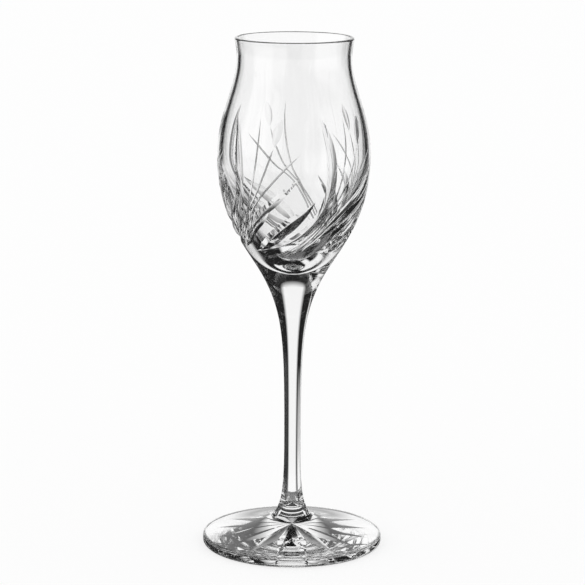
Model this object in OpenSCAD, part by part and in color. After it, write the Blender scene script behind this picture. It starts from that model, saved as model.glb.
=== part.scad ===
// Stemmed schnapps glass in cut crystal: a blown bowl, a drawn stem and a foot, joined hot.
// Millimetres, +Z up. The origin is the centre of the foot's underside, on the table.

/* [Overall] */
// Height from the table to the lip
glass_h = 190; // [180:1:215]

/* [Lip and neck] */
// Outer diameter of the lip
rim_d = 43.4; // [41:0.1:50]
// Glass thickness at the lip, which is rounded over by the flame
rim_wall = 1.3; // [1:0.1:2]
// Outward lean of the lip, in degrees
rim_lean = 10; // [2:1:20]
// Outer diameter of the narrow ring under the lip
neck_d = 42; // [38:0.1:46]
// Depth of the narrow ring below the lip
neck_drop = 7.3; // [5:0.1:12]
// Glass thickness at the narrow ring
neck_wall = 1.4; // [1:0.1:2]

/* [Belly] */
// Outer diameter of the belly
belly_d = 56.2; // [50:0.1:64]
// Depth of the belly's widest ring below the lip
belly_drop = 43.5; // [36:0.5:52]
// Glass thickness at the belly
belly_wall = 1.9; // [1.2:0.1:2.6]
// Outer diameter where the round belly turns into the hollow sweep of the stem
turn_d = 33.4; // [28:0.1:38]
// Depth of that turn below the lip
turn_drop = 79.2; // [72:0.1:85]
// Lean of the wall at that turn, in degrees
turn_lean = 33; // [26:1:40]
// Glass under the cavity, down to the bowl's round underside
floor_wall = 10.6; // [7:0.1:13]
// Width over which the cavity's floor rounds off
floor_d = 20; // [14:0.5:28]

/* [Wheel cuts on the bowl] */
// Width of the crescent that closes each spray of cuts
crescent_w = 4.4; // [3:0.1:5.5]
// Depth of the crescent
crescent_depth = 1.1; // [0.5:0.05:1.3]
// Width of the broad leaf inside the crescent
broad_leaf_w = 5.9; // [4:0.1:7]
// Depth of the broad leaf
broad_leaf_depth = 2; // [1:0.05:2.2]
// Width of the long leaf above the broad one
long_leaf_w = 3.6; // [2.4:0.1:4.6]
// Depth of the long leaf
long_leaf_depth = 0.9; // [0.5:0.05:1.2]
// Width of the short leaf at the root of the long one
short_leaf_w = 3; // [2:0.1:4]
// Depth of the short leaf
short_leaf_depth = 0.7; // [0.4:0.05:1]

/* [Seam of bowl and stem] */
// Diameter of the seam
seam_d = 20; // [16:0.1:24]
// Depth of the seam's edge below the lip
seam_drop = 90.4; // [87:0.1:98]
// Lean of the wall at the seam, in degrees
seam_lean = 26; // [20:1:32]
// Drop of the bowl's round underside below the seam's edge
seam_dome = 4; // [2:0.1:6]

/* [Stem] */
// Diameter of the stem where it is thinnest
waist_d = 6.1; // [5:0.1:8]
// Height of the thinnest place above the table
waist_h = 40; // [32:0.5:50]
// Diameter of the stem's base on the foot
base_d = 14; // [11:0.1:18]
// Lean of the flare at the stem's base, in degrees
base_lean = 40; // [30:1:55]

/* [Foot] */
// Diameter of the foot
foot_d = 66.9; // [60:0.1:76]
// Thickness of the foot's edge
foot_edge = 3.8; // [3:0.1:5]
// Rounding of the foot's edge
edge_round = 1.2; // [0.6:0.1:1.4]
// Height of the foot under the stem
foot_h = 11; // [9:0.1:14]
// Fall of the foot's top beside the stem, in degrees
foot_slope = 33; // [24:1:40]
// Fall of the foot's top at its edge, in degrees
edge_slope = 5; // [1:1:10]

/* [Star cut under the foot] */
// Number of rays
star_rays = 16; // [8:2:24]
// Bare glass between the tips of the rays and the foot's edge
star_margin = 5.2; // [3:0.1:8]
// Diameter where neighbouring rays meet
star_heart_d = 26; // [16:0.5:32]
// Depth of the cut at the centre
star_depth = 2.7; // [1.5:0.1:4]

/* [Curves] */
// Share of the lip's height over which both its ends run straight
lip_ease = 0.33; // [0.2:0.01:0.5]
// Share of the shoulder's height that stays with the neck
neck_ease = 0.33; // [0.2:0.01:0.5]
// Share of the shoulder's height that stays with the belly
shoulder_ease = 0.46; // [0.2:0.01:0.5]
// Share of the lower belly's height that stays with the belly
belly_ease = 0.48; // [0.2:0.01:0.5]
// Share of the lower belly's height that stays with the turn
turn_ease = 0.25; // [0.1:0.01:0.5]
// Share of the height from turn to seam over which both its ends run straight
collar_ease = 0.4; // [0.2:0.01:0.5]
// Share of the stem's upper sweep that stays with the seam
sweep_ease = 0.24; // [0.1:0.01:0.4]
// Share of the stem's upper sweep that stays with the waist
waist_ease = 0.6; // [0.4:0.01:0.7]
// Share of the stem's lower sweep that stays with the waist
shank_ease = 0.7; // [0.5:0.01:0.8]
// Share of the stem's lower sweep that stays with the base
flare_ease = 0.17; // [0.1:0.01:0.3]
// Share of the cavity's lower height that stays with the belly
cavity_ease = 0.38; // [0.2:0.01:0.5]
// Share of the foot's width that falls as it does beside the stem
foot_ease = 0.24; // [0.1:0.01:0.4]
// Share of the foot's width that falls as it does at the edge
rest_ease = 0.42; // [0.2:0.01:0.6]

/* [Hidden] */
$fn = 128;
crystal = [0.88, 0.91, 0.92, 0.55];
curve_steps = 14;
arc_steps = 6;
// The cutters start this far outside the glass, so that they break its surface cleanly
cutter_reach = 0.5;

// Turn of each spray round the bowl, in degrees: a spray is set out by eye from the last one
spray_turns = [0, 69.5, 138.5, 211.7, 285];
// Line of each cut on the wall: degrees round from the spray's place, and how far down from the lip to the
// turn of the wall, in hundredths
crescent_line = [
    [-46, 96.2], [-27, 95.2], [-11, 93], [4, 89], [15, 83.4], [22, 78.4], [26, 73.2],
    [28.4, 67], [29.3, 60], [28.8, 53], [27, 45.4], [24.5, 38.6], [20.6, 32]
];
broad_leaf_line = [[-40, 96.4], [-30, 93.2], [-21, 89.4], [-8.7, 84.4], [3.4, 79], [10, 75.8], [17.5, 70.8]];
long_leaf_line = [[-56, 92.2], [-44, 86.6], [-36, 82.4], [-25, 76.2], [-12.6, 70], [-2.7, 64.2], [6.8, 59]];
short_leaf_line = [[-62, 95.4], [-45, 89.4], [-38, 85.6], [-29, 81], [-17.5, 74]];
// Share of a cut's length over which it swells from its first tip, and over which it shrinks to its last
crescent_tips = [0.3, 0.24];
broad_leaf_tips = [0.3, 0.45];
long_leaf_tips = [0.4, 0.4];
short_leaf_tips = [0.4, 0.3];

// Rings of the outline, as radius and height
neck_out = [neck_d / 2, glass_h - neck_drop];
neck_in = neck_out - [neck_wall, 0];
belly_out = [belly_d / 2, glass_h - belly_drop];
belly_in = belly_out - [belly_wall, 0];
turn = [turn_d / 2, glass_h - turn_drop];
seam = [seam_d / 2, glass_h - seam_drop];
waist = [waist_d / 2, waist_h];
base = [base_d / 2, foot_h];
axis_base = [0, foot_h];

// The lip is half a circle across the wall, tipped by its lean
lip_r = rim_wall / 2;
lip_centre = [rim_d / 2 - lip_r, glass_h - lip_r];
lip = arc(lip_centre, lip_r, 180 - rim_lean, -rim_lean);
lip_in = lip[0];
lip_out = lip[len(lip) - 1];

// The bowl's underside is a cap of a sphere, and the stem's top is its mould
cap_r = (pow(seam[0], 2) + pow(seam_dome, 2)) / (2 * seam_dome);
cap_centre = [0, seam[1] - seam_dome + cap_r];
cap_half = asin(seam[0] / cap_r);
cap = arc(cap_centre, cap_r, cap_half - 90, -90);
cavity_floor = [0, seam[1] - seam_dome + floor_wall];

foot_r = foot_d / 2;
edge_x = foot_r - edge_round;
edge_low = arc([edge_x, edge_round], edge_round, -90, 0);
edge_high = arc([edge_x, foot_edge - edge_round], edge_round, 0, 90 - edge_slope);
edge_top = edge_high[len(edge_high) - 1];

star_r = foot_r - star_margin;
star_grow = (star_depth + cutter_reach) / star_depth;

function toward(lean) = [sin(lean), cos(lean)];

function reversed(points) = [for (i = [len(points) - 1 : -1 : 0]) points[i]];

function arc(centre, r, from, to) = [
    for (i = [0 : arc_steps])
        let (a = from + (to - from) * i / arc_steps)
            centre + r * [cos(a), sin(a)]
];

// Cubic curve from a to d, without its first point, which the outline already holds
function curve(a, b, c, d) = [
    for (i = [1 : curve_steps])
        let (t = i / curve_steps, s = 1 - t)
            s * s * s * a + 3 * s * s * t * b + 3 * s * t * t * c + t * t * t * d
];

// Wall that runs down from ring a to ring b, leaving each along its own lean
function wall(a, lean_a, ease_a, b, lean_b, ease_b) =
    let (h = a[1] - b[1])
        curve(a, a - ease_a * h * toward(lean_a), b + ease_b * h * toward(lean_b), b);

bowl_outside = concat(
    wall(lip_out, rim_lean, lip_ease, neck_out, 0, lip_ease),
    wall(neck_out, 0, neck_ease, belly_out, 0, shoulder_ease),
    wall(belly_out, 0, belly_ease, turn, turn_lean, turn_ease),
    wall(turn, turn_lean, collar_ease, seam, seam_lean, collar_ease)
);

cavity_drop = belly_in[1] - cavity_floor[1];
bowl_inside = concat(
    [lip_in],
    wall(lip_in, rim_lean, lip_ease, neck_in, 0, lip_ease),
    wall(neck_in, 0, neck_ease, belly_in, 0, shoulder_ease),
    curve(belly_in, belly_in - [0, cavity_ease * cavity_drop], cavity_floor + [floor_d / 2, 0], cavity_floor)
);

stem_outside = concat(
    [seam],
    wall(seam, seam_lean, sweep_ease, waist, 0, waist_ease),
    wall(waist, 0, shank_ease, base, -base_lean, flare_ease)
);

top_w = edge_top[0] - base[0];
foot_top = curve(
    edge_top,
    edge_top + rest_ease * top_w * [-cos(edge_slope), sin(edge_slope)],
    base + foot_ease * top_w * [cos(foot_slope), -sin(foot_slope)],
    base
);

// Radius of the outer wall by height, and the way out of the glass at a place on it
wall_r = [for (p = bowl_outside) [p[1], p[0]]];
wall_step = 0.5;

function wall_slope(z) = (lookup(z + wall_step, wall_r) - lookup(z - wall_step, wall_r)) / (2 * wall_step);

function wall_place(mark) =
    let (z = glass_h - turn_drop * mark[1] / 100, r = lookup(z, wall_r))
        [r * sin(mark[0]), -r * cos(mark[0]), z];

function wall_out(mark) =
    let (slope = wall_slope(wall_place(mark)[2]), out = [sin(mark[0]), -cos(mark[0]), -slope])
        out / norm(out);

// A cut's share of its full depth at a share of its length
function swell(u, tips) = sin(90 * min(u / tips[0], 1)) * sin(90 * min((1 - u) / tips[1], 1));

// Three corners of a cut's V at one mark of its line: left edge, bottom and right edge
function cut_corners(line, i, w, depth, tips) =
    let (
        last = len(line) - 1,
        ahead = wall_place(line[min(i + 1, last)]) - wall_place(line[max(i - 1, 0)]),
        out = wall_out(line[i]),
        side = cross(ahead, out) / norm(cross(ahead, out)),
        fall = (depth + cutter_reach) * swell(i / last, tips),
        half = (fall + cutter_reach) * w / 2 / depth,
        lid = wall_place(line[i]) + 2 * cutter_reach * out
    )
        [lid - half * side, lid - (fall + cutter_reach) * out, lid + half * side];

// Bar with the V section of a cutting wheel, bent along a line on the wall
module wheel_cut(line, w, depth, tips) {
    last = len(line) - 1;
    corners = [for (i = [0 : last]) each cut_corners(line, i, w, depth, tips)];
    // Around one stretch: the lid, the left side and the right side, two triangles each
    stretch = [[0, 3, 5], [0, 5, 2], [3, 0, 1], [3, 1, 4], [2, 5, 4], [2, 4, 1]];
    sides = [for (i = [0 : last - 1], t = stretch) [for (k = t) 3 * i + k]];
    ends = [[0, 2, 1], [3 * last + 2, 3 * last, 3 * last + 1]];
    polyhedron(corners, concat(sides, ends));
}

// One spray: leaves that fan out of a common root, closed by a crescent
module spray() {
    wheel_cut(crescent_line, crescent_w, crescent_depth, crescent_tips);
    wheel_cut(broad_leaf_line, broad_leaf_w, broad_leaf_depth, broad_leaf_tips);
    wheel_cut(long_leaf_line, long_leaf_w, long_leaf_depth, long_leaf_tips);
    wheel_cut(short_leaf_line, short_leaf_w, short_leaf_depth, short_leaf_tips);
}

// Blown bowl: a tulip with a flared lip, solid below the cavity, with sprays of wheel cuts round its wall
module bowl() {
    color(crystal)
        difference() {
            rotate_extrude()
                polygon(concat(lip, bowl_outside, cap, reversed([for (p = bowl_inside) if (p != lip_in) p])));
            for (spray_turn = spray_turns)
                rotate([0, 0, spray_turn])
                    spray();
        }
}

// Drawn stem, hollowed at the top to take the bowl's round underside
module stem() {
    color(crystal)
        rotate_extrude()
            polygon(concat(stem_outside, [axis_base], reversed([for (p = cap) if (p != cap[0]) p])));
}

// Rays of the star as one low pyramid, which narrows to its top at the foot's centre
module star_cut() {
    translate([0, 0, -cutter_reach])
        linear_extrude(height = star_depth + cutter_reach, scale = 0)
            polygon([
                for (i = [0 : 2 * star_rays - 1])
                    let (r = i % 2 == 0 ? star_heart_d / 2 : star_r, a = i * 180 / star_rays)
                        star_grow * r * [cos(a), sin(a)]
            ]);
}

// Foot: a disc with a rounded edge that rises to the stem, star-cut from below
module foot() {
    color(crystal)
        difference() {
            rotate_extrude()
                polygon(concat([[0, 0]], edge_low, edge_high, foot_top, [axis_base]));
            star_cut();
        }
}

bowl();
stem();
foot();
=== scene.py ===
"""Stemmed schnapps glass in cut crystal: blown bowl, drawn stem and foot, joined hot and cut on the wheel."""

import math
from bisect import bisect_right

import bpy
from bpy.props import FloatProperty, FloatVectorProperty, IntProperty, PointerProperty
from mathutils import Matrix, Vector
from mathutils.geometry import interpolate_bezier


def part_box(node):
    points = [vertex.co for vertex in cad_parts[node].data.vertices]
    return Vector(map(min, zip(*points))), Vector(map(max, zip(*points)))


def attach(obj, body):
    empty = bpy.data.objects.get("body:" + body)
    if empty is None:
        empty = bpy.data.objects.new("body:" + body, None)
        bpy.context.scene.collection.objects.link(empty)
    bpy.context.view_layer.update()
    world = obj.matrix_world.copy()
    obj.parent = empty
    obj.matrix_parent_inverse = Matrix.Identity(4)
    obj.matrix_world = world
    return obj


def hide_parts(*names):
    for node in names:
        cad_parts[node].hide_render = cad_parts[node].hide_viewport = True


bl_info = {
    "name": "Schnapps glass",
    "version": (1, 0, 0),
    "blender": (4, 5, 0),
    "location": "View3D > Sidebar > Glass",
    "description": "Models a stemmed schnapps glass in cut crystal, piece by piece",
    "category": "Object",
}

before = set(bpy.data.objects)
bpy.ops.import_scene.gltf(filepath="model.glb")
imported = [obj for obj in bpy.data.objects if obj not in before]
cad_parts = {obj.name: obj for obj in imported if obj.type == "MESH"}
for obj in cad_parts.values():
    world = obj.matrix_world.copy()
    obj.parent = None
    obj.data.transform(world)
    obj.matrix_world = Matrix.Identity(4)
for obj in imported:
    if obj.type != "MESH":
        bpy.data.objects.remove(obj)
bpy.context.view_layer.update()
BOWL_LOW, BOWL_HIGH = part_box("bowl")
STEM_LOW, STEM_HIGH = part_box("stem")
FOOT_LOW, FOOT_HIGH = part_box("foot")

MM = 0.001
# Points on each stretch of an outline, and steps round the axis
STRETCH_POINTS = 20
BOWL_STEPS = 288
STEM_STEPS = 160
FOOT_STEPS = 256
# Points closer than this are one point
MERGE = 0.000001
# Edges sharper than this stay crisp, as a polished cut's edges do
CRISP_EDGE = math.radians(11)


def from_hex(text):
    """Linear colour of an sRGB hex value."""
    channels = [int(text[i:i + 2], 16) / 255 for i in (1, 3, 5)]
    return [c / 12.92 if c <= 0.04045 else ((c + 0.055) / 1.055) ** 2.4 for c in channels]


def length(name, description, default):
    return FloatProperty(name=name, description=description, default=default, unit="LENGTH", precision=4)


def angle(name, description, degrees):
    return FloatProperty(name=name, description=description, default=math.radians(degrees), subtype="ANGLE")


def share(name, description, default):
    return FloatProperty(name=name, description=description, default=default, subtype="FACTOR", min=0, max=1)


def colour(name, description, text):
    return FloatVectorProperty(name=name, description=description, default=from_hex(text), size=3,
                               subtype="COLOR", min=0, max=1)


class GlassBowl(bpy.types.PropertyGroup):
    """Sizes of the bowl."""
    top: length("Lip height", "Height of the lip above the table", BOWL_HIGH.z)
    rim_d: length("Lip", "Outer diameter of the lip", 43.4 * MM)
    rim_wall: length("Lip wall", "Glass thickness at the lip", 1.3 * MM)
    rim_lean: angle("Lip lean", "Outward lean of the lip", 10)
    neck_d: length("Neck", "Outer diameter of the narrow ring under the lip", 42 * MM)
    neck_drop: length("Neck depth", "Depth of the narrow ring below the lip", 7.3 * MM)
    neck_wall: length("Neck wall", "Glass thickness at the narrow ring", 1.4 * MM)
    belly_d: length("Belly", "Outer diameter of the belly", 56.2 * MM)
    belly_drop: length("Belly depth", "Depth of the widest ring below the lip", 43.5 * MM)
    belly_wall: length("Belly wall", "Glass thickness at the belly", 1.9 * MM)
    turn_d: length("Turn", "Outer diameter where the belly turns into the stem's sweep", 33.4 * MM)
    turn_drop: length("Turn depth", "Depth of that turn below the lip", 79.2 * MM)
    turn_lean: angle("Turn lean", "Lean of the wall at that turn", 33)
    floor_wall: length("Floor", "Glass under the cavity, down to the bowl's round underside", 10.6 * MM)
    floor_d: length("Floor rounding", "Width over which the cavity's floor rounds off", 20 * MM)
    seam_d: length("Seam", "Diameter of the seam with the stem", 20 * MM)
    seam_lean: angle("Seam lean", "Lean of the wall at the seam", 26)


class GlassStem(bpy.types.PropertyGroup):
    """Sizes of the stem."""
    waist_d: length("Waist", "Diameter of the stem where it is thinnest", 6.1 * MM)
    waist_h: length("Waist height", "Height of the thinnest place above the table", 40 * MM)
    base_d: length("Base", "Diameter of the stem's base on the foot", 14 * MM)
    base_lean: angle("Base lean", "Lean of the flare at the stem's base", 40)


class GlassFoot(bpy.types.PropertyGroup):
    """Sizes of the foot and of the star under it."""
    foot_d: length("Foot", "Diameter of the foot", FOOT_HIGH.x - FOOT_LOW.x)
    edge: length("Edge", "Thickness of the foot's edge", 3.8 * MM)
    edge_round: length("Edge rounding", "Rounding of the foot's edge", 1.2 * MM)
    slope: angle("Slope", "Fall of the foot's top beside the stem", 33)
    edge_slope: angle("Edge slope", "Fall of the foot's top at its edge", 5)
    star_rays: IntProperty(name="Rays", description="Number of rays in the star", default=16, min=8, max=24)
    star_margin: length("Star margin", "Bare glass between the star and the foot's edge", 5.2 * MM)
    star_heart_d: length("Star heart", "Diameter where neighbouring rays meet", 26 * MM)
    star_depth: length("Star depth", "Depth of the star at its centre", 2.7 * MM)


class GlassCuts(bpy.types.PropertyGroup):
    """The wheel cuts round the bowl."""
    turn: angle("Turn", "Turn of all the sprays round the bowl", 0)


class GlassLook(bpy.types.PropertyGroup):
    """Colour of the crystal and of the stage."""
    tint: colour("Crystal", "Colour of light that has come through the crystal", "#FEFEFE")
    ior: FloatProperty(name="Refraction", description="How strongly the crystal bends light", default=1.545)
    paper: colour("Paper", "Colour of the paper the glass stands on", "#FAFAFA")
    panel: share("Bright panel", "Brightness of the tent's white cloth", 1.0)


def add_node(tree, kind, settings=None, values=None, links=None):
    """Adds a node, with its settings, the values on its sockets and the sockets that feed it."""
    node = tree.nodes.new(kind)
    for name, value in (settings or {}).items():
        setattr(node, name, value)
    for socket, value in (values or {}).items():
        node.inputs[socket].default_value = value
    for socket, source in (links or {}).items():
        tree.links.new(source, node.inputs[socket])
    return node


def start_material(name):
    """Empty material, with all its nodes cleared."""
    material = bpy.data.materials.new(name)
    material.use_nodes = True
    material.node_tree.nodes.clear()
    return material, material.node_tree


def bumped_crystal(name, size, height, detail, roughness):
    """Crystal with a fine unevenness of the given size and height, made once and then shared."""
    if name in bpy.data.materials:
        return bpy.data.materials[name]
    look = bpy.context.scene.glass_look
    material, tree = start_material(name)
    place = add_node(tree, "ShaderNodeTexCoord")
    noise = add_node(tree, "ShaderNodeTexNoise", values={"Scale": 1 / size, "Detail": detail},
                     links={"Vector": place.outputs["Object"]})
    bump = add_node(tree, "ShaderNodeBump", values={"Strength": 1.0, "Distance": height},
                    links={"Height": noise.outputs["Fac"]})
    crystal = add_node(tree, "ShaderNodeBsdfPrincipled",
                       values={"Base Color": (*look.tint, 1), "Transmission Weight": 1.0, "IOR": look.ior,
                               "Roughness": roughness},
                       links={"Normal": bump.outputs["Normal"]})
    add_node(tree, "ShaderNodeOutputMaterial", links={"Surface": crystal.outputs["BSDF"]})
    return material


def fire_polished_crystal():
    """Lead crystal, blown and fire-polished.

    It is clear and glossy, and it bends the view with slow hand-made waves.
    """
    return bumped_crystal("Lead crystal, blown and fire-polished", size=17 * MM, height=0.008 * MM,
                          detail=1.0, roughness=0.0)


def wheel_cut_crystal():
    """Lead crystal, cut on the wheel and polished.

    Its facets are flat and bright, with a very faint ripple that polishing leaves.
    """
    return bumped_crystal("Lead crystal, wheel-cut and polished", size=0.9 * MM, height=0.0005 * MM,
                          detail=2.0, roughness=0.0)


def satin_cut_crystal():
    """Lead crystal, cut on a fine stone and left satin.

    Its facets are a soft even grey from the stone's grit, and they blur what is behind them.
    """
    return bumped_crystal("Lead crystal, stone-cut and satin", size=0.12 * MM, height=0.004 * MM,
                          detail=2.0, roughness=0.28)


def fused_seam():
    """Lead crystal, fused hot to its neighbour.

    The two pieces are one glass there, so the joint itself is unseen.
    """
    name = "Lead crystal, fused seam"
    if name in bpy.data.materials:
        return bpy.data.materials[name]
    look = bpy.context.scene.glass_look
    material, tree = start_material(name)
    clear = add_node(tree, "ShaderNodeBsdfPrincipled",
                     values={"Base Color": (*look.tint, 1), "Alpha": 0.0, "IOR": look.ior})
    add_node(tree, "ShaderNodeOutputMaterial", links={"Surface": clear.outputs["BSDF"]})
    return material


FINISHES = {"polished": wheel_cut_crystal, "satin": satin_cut_crystal}


def white_paper():
    """White paper, matt: it lights evenly, keeps the glass's soft shadow and shows a faint grain."""
    look = bpy.context.scene.glass_look
    grain_size = 0.6 * MM
    grain_height = 0.02 * MM
    grain_strength = 0.2
    # Share of the paper that the camera sees as plain white; the rest keeps the shadow
    glow_share = 0.7
    material, tree = start_material("Paper, white and matt")
    place = add_node(tree, "ShaderNodeTexCoord")
    grain = add_node(tree, "ShaderNodeTexNoise", values={"Scale": 1 / grain_size, "Detail": 3.0},
                     links={"Vector": place.outputs["Object"]})
    bump = add_node(tree, "ShaderNodeBump", values={"Strength": grain_strength, "Distance": grain_height},
                    links={"Height": grain.outputs["Fac"]})
    paper = add_node(tree, "ShaderNodeBsdfDiffuse", values={"Color": (*look.paper, 1)},
                     links={"Normal": bump.outputs["Normal"]})
    glow = add_node(tree, "ShaderNodeEmission", values={"Color": (1, 1, 1, 1), "Strength": 1.0})
    ray = add_node(tree, "ShaderNodeLightPath")
    share_white = add_node(tree, "ShaderNodeMath", {"operation": "MULTIPLY"}, {1: glow_share},
                           {0: ray.outputs["Is Camera Ray"]})
    mix = add_node(tree, "ShaderNodeMixShader",
                   links={0: share_white.outputs[0], 1: paper.outputs[0], 2: glow.outputs[0]})
    add_node(tree, "ShaderNodeOutputMaterial", links={"Surface": mix.outputs[0]})
    return material


def clear_selection():
    """Leaves edit mode and lets go of everything."""
    if bpy.context.object and bpy.context.object.mode != "OBJECT":
        bpy.ops.object.mode_set(mode="OBJECT")
    bpy.ops.object.select_all(action="DESELECT")


def take(piece):
    """Selects one piece alone and makes it the active one."""
    clear_selection()
    piece.select_set(True)
    bpy.context.view_layer.objects.active = piece


def up_wall(lean):
    """Direction up a wall that leans outwards."""
    return Vector((math.sin(lean), 0, math.cos(lean)))


def wall(low, low_lean, low_ease, high, high_lean, high_ease):
    """Stretch of wall from a lower ring to a higher one, leaving each along its own lean."""
    rise = high.z - low.z
    leaving = low + low_ease * rise * up_wall(low_lean)
    arriving = high - high_ease * rise * up_wall(high_lean)
    return (low, leaving, arriving, high)


def arc(centre, start, end):
    """Stretch of a circle from start to end."""
    first = start - centre
    last = end - centre
    swing = first.angle(last)
    reach = 4 / 3 * math.tan(swing / 4)
    start_run = (last - first * math.cos(swing)) / math.sin(swing)
    end_run = (first - last * math.cos(swing)) / math.sin(swing)
    return (start, start + reach * start_run, end + reach * end_run, end)


def straight(start, end):
    """Straight stretch."""
    return (start, start.lerp(end, 1 / 3), start.lerp(end, 2 / 3), end)


def turned_about(stretch):
    """The same stretch, drawn from its other end."""
    return stretch[::-1]


def spin_outline(name, stretches, steps):
    """Draws half an outline as a curve, makes it a mesh and spins it round the glass's axis."""
    clear_selection()
    bpy.ops.curve.primitive_bezier_curve_add()
    piece = bpy.context.object
    piece.name = name
    piece.data.resolution_u = STRETCH_POINTS
    points = piece.data.splines[0].bezier_points
    points.add(len(stretches) + 1 - len(points))
    for point in points:
        point.handle_left_type = "FREE"
        point.handle_right_type = "FREE"
    points[0].handle_left = stretches[0][0]
    points[-1].handle_right = stretches[-1][3]
    for i, (start, leaving, arriving, end) in enumerate(stretches):
        points[i].co = start
        points[i].handle_right = leaving
        points[i + 1].handle_left = arriving
        points[i + 1].co = end
    bpy.ops.object.convert(target="MESH")
    piece = bpy.context.object
    piece.data.name = name
    bpy.ops.object.mode_set(mode="EDIT")
    bpy.ops.mesh.select_all(action="SELECT")
    bpy.ops.mesh.spin(steps=steps, angle=2 * math.pi, center=(0, 0, 0), axis=(0, 0, 1))
    bpy.ops.mesh.select_all(action="SELECT")
    bpy.ops.mesh.remove_doubles(threshold=MERGE)
    bpy.ops.mesh.normals_make_consistent(inside=False)
    bpy.ops.object.mode_set(mode="OBJECT")
    return piece


# Shares of a stretch's height or width over which it keeps the lean that it has at that ring
COLLAR_EASE = 0.4
TURN_EASE = 0.25
BELLY_EASE = 0.48
SHOULDER_EASE = 0.46
NECK_EASE = 0.33
LIP_EASE = 0.33
CAVITY_EASE = 0.38
SWEEP_EASE = 0.24
WAIST_EASE = 0.6
SHANK_EASE = 0.7
FLARE_EASE = 0.17
CROWN_EASE = 0.24
EDGE_EASE = 0.42


def cap_rings():
    """Bottom of the bowl's round underside, the seam's ring and the centre of that sphere."""
    bowl = bpy.context.scene.glass_bowl
    seam = Vector((bowl.seam_d / 2, 0, STEM_HIGH.z))
    bottom = Vector((0, 0, BOWL_LOW.z))
    dome = seam.z - bottom.z
    radius = (seam.x ** 2 + dome ** 2) / (2 * dome)
    return bottom, seam, bottom + Vector((0, 0, radius))


def bowl_outside():
    """Stretches of the bowl's outer wall, from the seam up to the lip."""
    bowl = bpy.context.scene.glass_bowl
    seam = cap_rings()[1]
    lip_r = bowl.rim_wall / 2
    lip = Vector((bowl.rim_d / 2 - lip_r, 0, bowl.top - lip_r))
    lip_out = lip + lip_r * Vector((math.cos(bowl.rim_lean), 0, -math.sin(bowl.rim_lean)))
    neck = Vector((bowl.neck_d / 2, 0, bowl.top - bowl.neck_drop))
    belly = Vector((bowl.belly_d / 2, 0, bowl.top - bowl.belly_drop))
    turn = Vector((bowl.turn_d / 2, 0, bowl.top - bowl.turn_drop))
    return [wall(seam, bowl.seam_lean, COLLAR_EASE, turn, bowl.turn_lean, COLLAR_EASE),
            wall(turn, bowl.turn_lean, TURN_EASE, belly, 0, BELLY_EASE),
            wall(belly, 0, SHOULDER_EASE, neck, 0, NECK_EASE),
            wall(neck, 0, LIP_EASE, lip_out, bowl.rim_lean, LIP_EASE)]


def bowl_outline():
    """Half outline of the bowl: round underside, outer wall, lip and cavity."""
    bowl = bpy.context.scene.glass_bowl
    bottom, seam, cap_centre = cap_rings()
    outside = bowl_outside()
    lip_r = bowl.rim_wall / 2
    lip = Vector((bowl.rim_d / 2 - lip_r, 0, bowl.top - lip_r))
    lip_out = outside[-1][3]
    lip_top = lip + lip_r * up_wall(bowl.rim_lean)
    lip_in = 2 * lip - lip_out
    neck_in = outside[2][3] - Vector((bowl.neck_wall, 0, 0))
    belly_in = outside[1][3] - Vector((bowl.belly_wall, 0, 0))
    floor = bottom + Vector((0, 0, bowl.floor_wall))
    drop = belly_in.z - floor.z
    cavity = (belly_in, belly_in - Vector((0, 0, CAVITY_EASE * drop)),
              floor + Vector((bowl.floor_d / 2, 0, 0)), floor)
    return [arc(cap_centre, bottom, seam), *outside, arc(lip, lip_out, lip_top), arc(lip, lip_top, lip_in),
            turned_about(wall(neck_in, 0, LIP_EASE, lip_in, bowl.rim_lean, LIP_EASE)),
            turned_about(wall(belly_in, 0, SHOULDER_EASE, neck_in, 0, NECK_EASE)), cavity]


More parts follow.
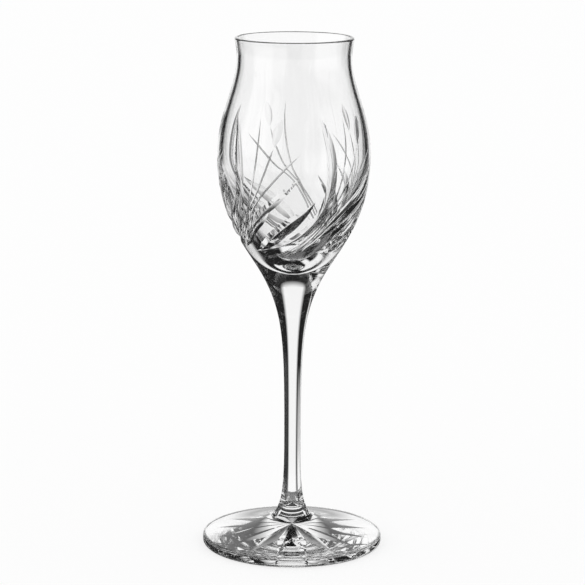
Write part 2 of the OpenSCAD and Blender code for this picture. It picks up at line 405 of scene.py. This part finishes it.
# The spray of cuts that goes round the bowl. Places are degrees round the bowl from the front and
# heights in millimetres, from where the wheel goes in to where it comes out. Widths are in millimetres,
# the tilts are those of the cut's left and right facets as the wheel moves, in degrees, and the tapers are
# the shares of the cut over which it opens and closes.
CUTS = {
    "tall_ray": {"path": [(-92, 112.6), (-82, 113.6), (-69, 116.6), (-58, 120.3), (-50, 123.6), (-44, 126.8),
                          (-38, 132), (-32.4, 139.5), (-28.5, 149), (-27.4, 156), (-27.5, 164.6)],
                 "width": 0.75, "tilts": (40, 40), "tapers": (0.15, 0.14), "groove": 0.2,
                 "finish": ("polished", "polished")},
    "bud_ray": {"path": [(-88, 112.2), (-80, 113.2), (-67, 116), (-56, 119.6), (-46.5, 124), (-39, 129.5),
                         (-30, 136), (-22, 144), (-14.4, 154)],
                "width": 0.75, "tilts": (40, 40), "tapers": (0.15, 0.1), "groove": 0.2,
                "finish": ("polished", "polished")},
    "low_ray": {"path": [(-84, 111.8), (-78, 112.6), (-65, 115.2), (-54, 118.6), (-43, 124.4), (-32, 131.8),
                         (-19, 139), (-3, 147.5), (7, 152.2)],
                "width": 0.75, "tilts": (40, 40), "tapers": (0.15, 0.14), "groove": 0.2,
                "finish": ("polished", "polished")},
    "bud": {"path": [(-14.8, 153), (-12.6, 158.2), (-9.2, 163.8)], "width": 3.8, "tilts": (22, 11),
            "tapers": (0.45, 0.45), "groove": 1.4, "finish": ("satin", "satin")},
    "small_leaf": {"path": [(-58, 115.6), (-48.4, 119.6), (-40.4, 123.6), (-33.6, 127.8), (-28, 132)],
                   "width": 2.2, "tilts": (26, 20), "tapers": (0.4, 0.35), "groove": 0.3,
                   "finish": ("polished", "polished")},
    "short_leaf": {"path": [(-62, 114.4), (-45, 119.2), (-38, 122.2), (-28.9, 125.8), (-17.5, 131.4)],
                   "width": 3.0, "tilts": (18, 18), "tapers": (0.4, 0.3), "groove": 0.3,
                   "finish": ("polished", "polished")},
    "long_leaf": {"path": [(-56, 117), (-44, 121.4), (-36.2, 124.8), (-25.1, 129.6), (-12.6, 134.6),
                           (-2.7, 139.2), (6.8, 143.2)],
                  "width": 3.6, "tilts": (20, 22), "tapers": (0.4, 0.4), "groove": 0.3,
                  "finish": ("polished", "polished")},
    "broad_leaf": {"path": [(-40, 113.6), (-30, 116.2), (-20.8, 119.2), (-8.7, 123.2), (3.4, 127.4),
                            (10, 130), (17.5, 134)],
                   "width": 5.9, "tilts": (24, 24), "tapers": (0.3, 0.45), "groove": 0.3,
                   "finish": ("polished", "polished")},
    "crescent": {"path": [(-46, 113.8), (-27, 114.6), (-11, 116.4), (4, 119.6), (15.2, 124), (22, 128),
                          (26, 132), (28.4, 137), (29.3, 142.5), (28.8, 148), (27, 154), (24.5, 159.4),
                          (20.6, 164.6)],
                 "width": 4.6, "tilts": (20, 20), "tapers": (0.3, 0.16), "groove": 0.6,
                 "finish": ("polished", "polished")},
}
# Turn of each spray round the bowl, in degrees: they are set out by eye
SPRAYS = (0, 69.5, 141.7, 215.1, 286.5)
CUT_STATIONS = 72
CUT_COLUMNS = 12
# Points along each stretch of wall and of a cut's path, from which places are read
WALL_POINTS = 80
PATH_POINTS = 40
# How far the cutter's sides run on above the glass, and its lid above them
CUT_MARGIN = 0.25 * MM
CUT_LID = 0.6 * MM
# The wheel is this far off the glass at both ends of a cut
CUT_LIFT = 0.04 * MM
# Share of the cutter's columns that lie in the groove at the bottom of a cut
CUT_GROOVE = 0.5
# A face this near to a round or flat seam belongs to it
CAP_NEAR = 0.03 * MM
FLAT_NEAR = 0.01 * MM
# How far the star's cutter reaches below the foot
STAR_REACH = 0.5 * MM


def wall_finder():
    """Function that gives a place on the bowl's outer wall and the way out of the glass there."""
    points = []
    for stretch in bowl_outside():
        points += interpolate_bezier(*stretch, WALL_POINTS)[1:]
    heights = [p.z for p in points]

    def find(turn, height):
        i = min(max(bisect_right(heights, height), 1), len(points) - 1)
        low, high = points[i - 1], points[i]
        here = low.lerp(high, (height - low.z) / (high.z - low.z))
        run = (high - low).normalized()
        ahead = Vector((math.sin(turn), -math.cos(turn), 0))
        out = run.z * ahead - Vector((0, 0, run.x))
        return here.x * ahead + Vector((0, 0, height)), out

    return find


def smooth_path(places, stations):
    """Evenly spaced places on a smooth line through the given ones."""
    marks = [Vector(p) for p in places]
    gaps = [(b - a).length for a, b in zip(marks, marks[1:])]
    slopes = [(b - a) / gap for a, b, gap in zip(marks, marks[1:], gaps)]
    runs = [slopes[0]]
    for i in range(1, len(slopes)):
        runs.append((slopes[i - 1] * gaps[i] + slopes[i] * gaps[i - 1]) / (gaps[i - 1] + gaps[i]))
    runs.append(slopes[-1])
    fine = [marks[0]]
    for i, gap in enumerate(gaps):
        handles = (marks[i] + runs[i] * gap / 3, marks[i + 1] - runs[i + 1] * gap / 3)
        fine += interpolate_bezier(marks[i], *handles, marks[i + 1], PATH_POINTS)[1:]
    along = [0.0]
    for a, b in zip(fine, fine[1:]):
        along.append(along[-1] + (b - a).length)
    even = []
    for k in range(stations + 1):
        mark = along[-1] * k / stations
        i = min(max(bisect_right(along, mark), 1), len(fine) - 1)
        even.append(fine[i - 1].lerp(fine[i], (mark - along[i - 1]) / (along[i] - along[i - 1])))
    return even


def cutter(name, cut, find, turn):
    """Solid that the wheel takes out of the bowl along one cut: a bar of cells bent along the cut's path."""
    slopes = [math.tan(math.radians(tilt)) for tilt in cut["tilts"]]
    full_depth = cut["width"] * MM / (1 / slopes[0] + 1 / slopes[1])
    shift = full_depth * (1 / slopes[0] - 1 / slopes[1]) / 2
    places = []
    for degrees, height in smooth_path(cut["path"], CUT_STATIONS):
        places.append(find(math.radians(degrees) + turn, height * MM))
    opening, closing = cut["tapers"]
    clear_selection()
    bpy.ops.mesh.primitive_grid_add(x_subdivisions=CUT_COLUMNS, y_subdivisions=CUT_STATIONS, size=1)
    bar = bpy.context.object
    bar.name = name
    bpy.ops.object.mode_set(mode="EDIT")
    bpy.ops.mesh.select_all(action="SELECT")
    bpy.ops.mesh.extrude_region_move(TRANSFORM_OT_translate={"value": (0, 0, 1)})
    bpy.ops.object.mode_set(mode="OBJECT")
    for face in bar.data.polygons:
        face.material_index = 0 if face.center.x < 0 else 1
    for vertex in bar.data.vertices:
        across = 2 * vertex.co.x
        step = round((vertex.co.y + 0.5) * CUT_STATIONS)
        here, out = places[step]
        ahead = (places[min(step + 1, CUT_STATIONS)][0] - places[max(step - 1, 0)][0]).normalized()
        side = ahead.cross(out).normalized()
        ends = (min(step / CUT_STATIONS / opening, 1), min((1 - step / CUT_STATIONS) / closing, 1))
        swell = math.sin(ends[0] * math.pi / 2) * math.sin(ends[1] * math.pi / 2)
        depth = full_depth * swell - CUT_LIFT
        groove = cut["groove"] * MM / 2 * swell
        slope = slopes[0 if across < 0 else 1]
        if abs(across) > CUT_GROOVE:
            share_up = (abs(across) - CUT_GROOVE) / (1 - CUT_GROOVE)
            aside = groove + share_up * ((depth + CUT_MARGIN) / slope - groove)
            rise = aside * slope
        else:
            aside = abs(across) / CUT_GROOVE * groove
            rise = groove * sum(slopes) / 4
            if groove:
                rise += aside ** 2 * sum(slopes) / (4 * groove) + aside * (2 * slope - sum(slopes)) / 2
        reach = math.copysign(aside, across) + shift * swell
        level = CUT_MARGIN + CUT_LID if vertex.co.z > 0.5 else rise - depth
        vertex.co = here + reach * side + level * out
    bpy.ops.object.mode_set(mode="EDIT")
    bpy.ops.mesh.select_all(action="SELECT")
    bpy.ops.mesh.normals_make_consistent(inside=False)
    bpy.ops.object.mode_set(mode="OBJECT")
    for finish in cut["finish"]:
        bar.data.materials.append(FINISHES[finish]())
    return bar


def grind(piece, cutters):
    """Takes the joined cutters out of a piece."""
    take(cutters[0])
    for bar in cutters:
        bar.select_set(True)
    if len(cutters) > 1:
        bpy.ops.object.join()
    tool = bpy.context.object
    before = len(piece.data.polygons)
    take(piece)
    cut = piece.modifiers.new("Cut", "BOOLEAN")
    cut.operation = "DIFFERENCE"
    cut.solver = "MANIFOLD"
    cut.material_mode = "TRANSFER"
    cut.object = tool
    bpy.ops.object.modifier_apply(modifier=cut.name)
    if len(piece.data.polygons) == before:
        raise RuntimeError(f"{tool.name} took nothing off {piece.name}")
    bpy.data.objects.remove(tool)


def finish_piece(piece, node):
    """Smooths a piece, hides the frame's part that it stands for and ties it to the frame."""
    take(piece)
    bpy.ops.object.shade_smooth_by_angle(angle=CRISP_EDGE)
    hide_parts(node)
    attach(piece, "root")


def clear_seam(piece, touches):
    """Gives the fused-seam finish to the faces at whose centre the test holds."""
    index = len(piece.data.materials)
    piece.data.materials.append(fused_seam())
    count = 0
    for face in piece.data.polygons:
        if touches(face.center):
            face.material_index = index
            count += 1
    if not count:
        raise RuntimeError(f"{piece.name} has no seam")


def on_cap(place):
    """True on the round seam of bowl and stem."""
    bottom, seam, centre = cap_rings()
    return place.z < seam.z and abs((place - centre).length - (bottom - centre).length) < CAP_NEAR


class GLASS_OT_bowl(bpy.types.Operator):
    """Blow the bowl and cut its sprays"""
    bl_idname = "glass.bowl"
    bl_label = "Bowl"

    def execute(self, context):
        cuts = context.scene.glass_cuts
        bowl = spin_outline("Bowl", bowl_outline(), BOWL_STEPS)
        bowl.data.materials.append(fire_polished_crystal())
        find = wall_finder()
        for name, cut in CUTS.items():
            bars = []
            for k, degrees in enumerate(SPRAYS):
                bars.append(cutter(f"{name}_{k}", cut, find, cuts.turn + math.radians(degrees)))
            grind(bowl, bars)
        clear_seam(bowl, on_cap)
        finish_piece(bowl, "bowl")
        return {"FINISHED"}


class GLASS_OT_stem(bpy.types.Operator):
    """Draw the stem down from the bowl"""
    bl_idname = "glass.stem"
    bl_label = "Stem"

    def execute(self, context):
        sizes = context.scene.glass_stem
        seam_lean = context.scene.glass_bowl.seam_lean
        bottom, seam, centre = cap_rings()
        waist = Vector((sizes.waist_d / 2, 0, sizes.waist_h))
        base = Vector((sizes.base_d / 2, 0, STEM_LOW.z))
        middle = Vector((0, 0, STEM_LOW.z))
        outline = [arc(centre, bottom, seam),
                   turned_about(wall(waist, 0, WAIST_EASE, seam, seam_lean, SWEEP_EASE)),
                   turned_about(wall(base, -sizes.base_lean, FLARE_EASE, waist, 0, SHANK_EASE)),
                   straight(base, middle)]
        stem = spin_outline("Stem", outline, STEM_STEPS)
        stem.data.materials.append(fire_polished_crystal())
        clear_seam(stem, lambda place: on_cap(place) or place.z < STEM_LOW.z + FLAT_NEAR)
        finish_piece(stem, "stem")
        return {"FINISHED"}


class GLASS_OT_foot(bpy.types.Operator):
    """Set the foot and cut the star under it"""
    bl_idname = "glass.foot"
    bl_label = "Foot"

    def execute(self, context):
        sizes = context.scene.glass_foot
        radius = sizes.foot_d / 2
        turn_x = radius - sizes.edge_round
        base = Vector((context.scene.glass_stem.base_d / 2, 0, FOOT_HIGH.z))
        top = Vector((0, 0, FOOT_HIGH.z))
        low = Vector((turn_x, 0, sizes.edge_round))
        high = Vector((turn_x, 0, sizes.edge - sizes.edge_round))
        side_low = low + Vector((sizes.edge_round, 0, 0))
        side_high = high + Vector((sizes.edge_round, 0, 0))
        outward = Vector((math.cos(sizes.edge_slope), 0, -math.sin(sizes.edge_slope)))
        edge_top = high + sizes.edge_round * Vector((-outward.z, 0, outward.x))
        width = edge_top.x - base.x
        fall = Vector((math.cos(sizes.slope), 0, -math.sin(sizes.slope)))
        crown = (base, base + CROWN_EASE * width * fall, edge_top - EDGE_EASE * width * outward, edge_top)
        rest = Vector((turn_x, 0, 0))
        outline = [straight(top, base), crown, arc(high, edge_top, side_high), straight(side_high, side_low),
                   arc(low, side_low, rest), straight(rest, Vector((0, 0, 0)))]
        foot = spin_outline("Foot", outline, FOOT_STEPS)
        foot.data.materials.append(fire_polished_crystal())
        grind(foot, [self.star(sizes, radius)])
        clear_seam(foot, lambda place: place.z > FOOT_HIGH.z - FLAT_NEAR)
        finish_piece(foot, "foot")
        return {"FINISHED"}

    def star(self, sizes, radius):
        """Low pyramid whose base is a star, as the wheel leaves it."""
        height = sizes.star_depth + STAR_REACH
        grow = height / sizes.star_depth
        tip = (radius - sizes.star_margin) * grow
        heart = sizes.star_heart_d / 2 * grow
        clear_selection()
        bpy.ops.mesh.primitive_cone_add(vertices=2 * sizes.star_rays, radius1=tip, depth=height,
                                        location=(0, 0, height / 2 - STAR_REACH))
        bpy.ops.object.transform_apply(location=True, rotation=True, scale=True)
        star = bpy.context.object
        star.name = "star"
        corners = [v for v in star.data.vertices if v.co.z < 0]
        for vertex in corners:
            way = math.atan2(vertex.co.y, vertex.co.x)
            step = round(way * sizes.star_rays / math.pi)
            size = heart if step % 2 == 0 else tip
            way = step * math.pi / sizes.star_rays
            vertex.co.x = size * math.cos(way)
            vertex.co.y = size * math.sin(way)
        star.data.materials.append(wheel_cut_crystal())
        return star


# Camera of the photograph: fitted to the glass's lip, belly, stem and foot
CAMERA_PLACE = (0, -0.868126, 0.276143)
CAMERA_TILT = math.radians(11.748)
CAMERA_LENS = 147.63
CAMERA_ROLL = math.radians(0.32)
CAMERA_SHIFT = -0.0011
CAMERA_SENSOR = 36
CAMERA_NEAR = 0.01
FLOOR_SIZE = 60.0
# Light may turn this often inside the glass before it is lost
LIGHT_TURNS = 32
# Light tent round the glass, as it is seen through it: plain white panels with dark gaps between them. Each
# panel runs between two turns, in degrees round from straight behind the glass, and between two rises, in
# degrees above the horizon
PANELS = {
    "behind": {"turns": (-16, 16), "rises": (-28, 24)},
    "left": {"turns": (-130, -58), "rises": (-34, 40)},
    "low left": {"turns": (-60, -34), "rises": (-38, -18)},
    "front right": {"turns": (85, 160), "rises": (-40, -4)},
}
# Degrees over which a panel's edge fades, and the brightness of the gaps
PANEL_EDGE = 8
GAP_LIGHT = 0.01
# What the glass's skin mirrors, by degrees round and by degrees above the horizon
GLOSS_RING = [(-180, 1.0), (-56, 1.0), (-47, 0.5), (-45, 0.05), (-30, 0.05), (-27, 0.5), (-18, 1.0),
              (18, 1.0), (27, 0.5), (30, 0.05), (47, 0.08), (56, 0.9), (180, 1.0)]
GLOSS_SHARE = [(-30, 0.1), (-14, 0.15), (-10.5, 1.0)]


class GLASS_OT_stage(bpy.types.Operator):
    """Lay the paper, hang the light tent and set the camera"""
    bl_idname = "glass.stage"
    bl_label = "Stage"

    def execute(self, context):
        scene = context.scene
        clear_selection()
        bpy.ops.mesh.primitive_plane_add(size=FLOOR_SIZE, location=(0, 0, 0))
        paper = bpy.context.object
        paper.name = "Paper"
        paper.data.materials.append(white_paper())
        paper.visible_transmission = False
        paper.visible_glossy = False
        self.tent(scene)
        clear_selection()
        bpy.ops.object.camera_add(location=CAMERA_PLACE)
        camera = bpy.context.object
        camera.rotation_mode = "ZXY"
        camera.rotation_euler = (math.pi / 2 - CAMERA_TILT, 0, CAMERA_ROLL)
        camera.data.sensor_width = CAMERA_SENSOR
        camera.data.lens = CAMERA_LENS
        camera.data.shift_x = CAMERA_SHIFT
        camera.data.clip_start = CAMERA_NEAR
        scene.camera = camera
        scene.view_settings.view_transform = "Standard"
        for kind in ("max_bounces", "transmission_bounces", "glossy_bounces", "transparent_max_bounces"):
            setattr(scene.cycles, kind, LIGHT_TURNS)
        return {"FINISHED"}

    def tent(self, scene):
        """White world, in which the glass shows lit panels and dark gaps."""
        look = scene.glass_look
        world = bpy.data.worlds.new("Light tent")
        world.use_nodes = True
        scene.world = world
        tree = world.node_tree
        tree.nodes.clear()
        place = add_node(tree, "ShaderNodeTexCoord")
        axes = add_node(tree, "ShaderNodeSeparateXYZ", links={0: place.outputs["Generated"]})
        way = add_node(tree, "ShaderNodeMath", {"operation": "ARCTAN2"},
                       links={0: axes.outputs["X"], 1: axes.outputs["Y"]})
        turn = add_node(tree, "ShaderNodeMapRange", values={1: -math.pi, 2: math.pi, 3: 0.0, 4: 1.0},
                        links={0: way.outputs[0]})
        rise = add_node(tree, "ShaderNodeMath", {"operation": "ARCSINE"}, links={0: axes.outputs["Z"]})
        height = add_node(tree, "ShaderNodeMapRange",
                          values={1: -math.pi / 2, 2: math.pi / 2, 3: 0.0, 4: 1.0},
                          links={0: rise.outputs[0]})
        cloth = None
        for panel in PANELS.values():
            across = self.band(tree, turn.outputs[0], panel["turns"], 360)
            along = self.band(tree, height.outputs[0], panel["rises"], 180)
            lit = add_node(tree, "ShaderNodeMix", {"data_type": "RGBA", "blend_type": "MULTIPLY"}, {0: 1.0},
                           {6: across, 7: along})
            both = add_node(tree, "ShaderNodeMix", {"data_type": "RGBA", "blend_type": "LIGHTEN"},
                            {0: 1.0, 6: (GAP_LIGHT, GAP_LIGHT, GAP_LIGHT, 1)}, {7: lit.outputs[2]})
            if cloth:
                tree.links.new(cloth, both.inputs[6])
            cloth = both.outputs[2]
        seen = add_node(tree, "ShaderNodeBackground", values={"Strength": 1.0}, links={"Color": cloth})
        white = add_node(tree, "ShaderNodeBackground", values={"Color": (1, 1, 1, 1), "Strength": look.panel})
        gloss = add_node(tree, "ShaderNodeValToRGB", links={0: turn.outputs[0]})
        self.set_stops(gloss.color_ramp, [((d + 180) / 360, v) for d, v in GLOSS_RING])
        fade = add_node(tree, "ShaderNodeValToRGB", links={0: height.outputs[0]})
        self.set_stops(fade.color_ramp, [((e + 90) / 180, v) for e, v in GLOSS_SHARE])
        glint = add_node(tree, "ShaderNodeMix", {"data_type": "RGBA", "blend_type": "MULTIPLY"}, {0: 1.0},
                         {6: gloss.outputs["Color"], 7: fade.outputs["Color"]})
        mirrored = add_node(tree, "ShaderNodeBackground", values={"Strength": 1.0},
                            links={"Color": glint.outputs[2]})
        ray = add_node(tree, "ShaderNodeLightPath")
        plain = add_node(tree, "ShaderNodeMixShader",
                         links={0: ray.outputs["Is Glossy Ray"], 1: white.outputs[0], 2: mirrored.outputs[0]})
        mix = add_node(tree, "ShaderNodeMixShader",
                       links={0: ray.outputs["Is Transmission Ray"], 1: plain.outputs[0], 2: seen.outputs[0]})
        add_node(tree, "ShaderNodeOutputWorld", links={"Surface": mix.outputs[0]})

    def band(self, tree, angle_share, ends, whole):
        """Ramp that is white between two angles and fades over the panel's edge."""
        ramp = add_node(tree, "ShaderNodeValToRGB", links={0: angle_share})
        low, high = ends
        marks = [(low - PANEL_EDGE, 0), (low, 1), (high, 1), (high + PANEL_EDGE, 0)]
        self.set_stops(ramp.color_ramp, [(degrees / whole + 0.5, level) for degrees, level in marks])
        return ramp.outputs["Color"]

    def set_stops(self, ramp, stops):
        """Writes brightness marks into a colour ramp."""
        while len(ramp.elements) < len(stops):
            ramp.elements.new(0.5)
        for element, (mark, level) in zip(ramp.elements, stops):
            element.position = mark
            element.color = (level, level, level, 1)


class GLASS_PT_panel(bpy.types.Panel):
    """Sizes and steps of the glass"""
    bl_idname = "GLASS_PT_panel"
    bl_label = "Schnapps glass"
    bl_space_type = "VIEW_3D"
    bl_region_type = "UI"
    bl_category = "Glass"

    def draw(self, context):
        scene = context.scene
        for group in (scene.glass_bowl, scene.glass_cuts, scene.glass_stem, scene.glass_foot,
                      scene.glass_look):
            box = self.layout.box()
            for name in group.__annotations__:
                box.prop(group, name)
        for step in STEPS:
            self.layout.operator(step.bl_idname)


STEPS = (GLASS_OT_bowl, GLASS_OT_stem, GLASS_OT_foot, GLASS_OT_stage)
GROUPS = {"glass_bowl": GlassBowl, "glass_stem": GlassStem, "glass_foot": GlassFoot, "glass_cuts": GlassCuts,
          "glass_look": GlassLook}
CLASSES = (*GROUPS.values(), *STEPS, GLASS_PT_panel)


def register():
    for item in CLASSES:
        bpy.utils.register_class(item)
    for name, group in GROUPS.items():
        setattr(bpy.types.Scene, name, PointerProperty(type=group))


def unregister():
    for name in GROUPS:
        delattr(bpy.types.Scene, name)
    for item in reversed(CLASSES):
        bpy.utils.unregister_class(item)


def main():
    register()
    bpy.ops.glass.bowl()
    bpy.ops.glass.stem()
    bpy.ops.glass.foot()
    bpy.ops.glass.stage()


if __name__ == "__main__":
    main()
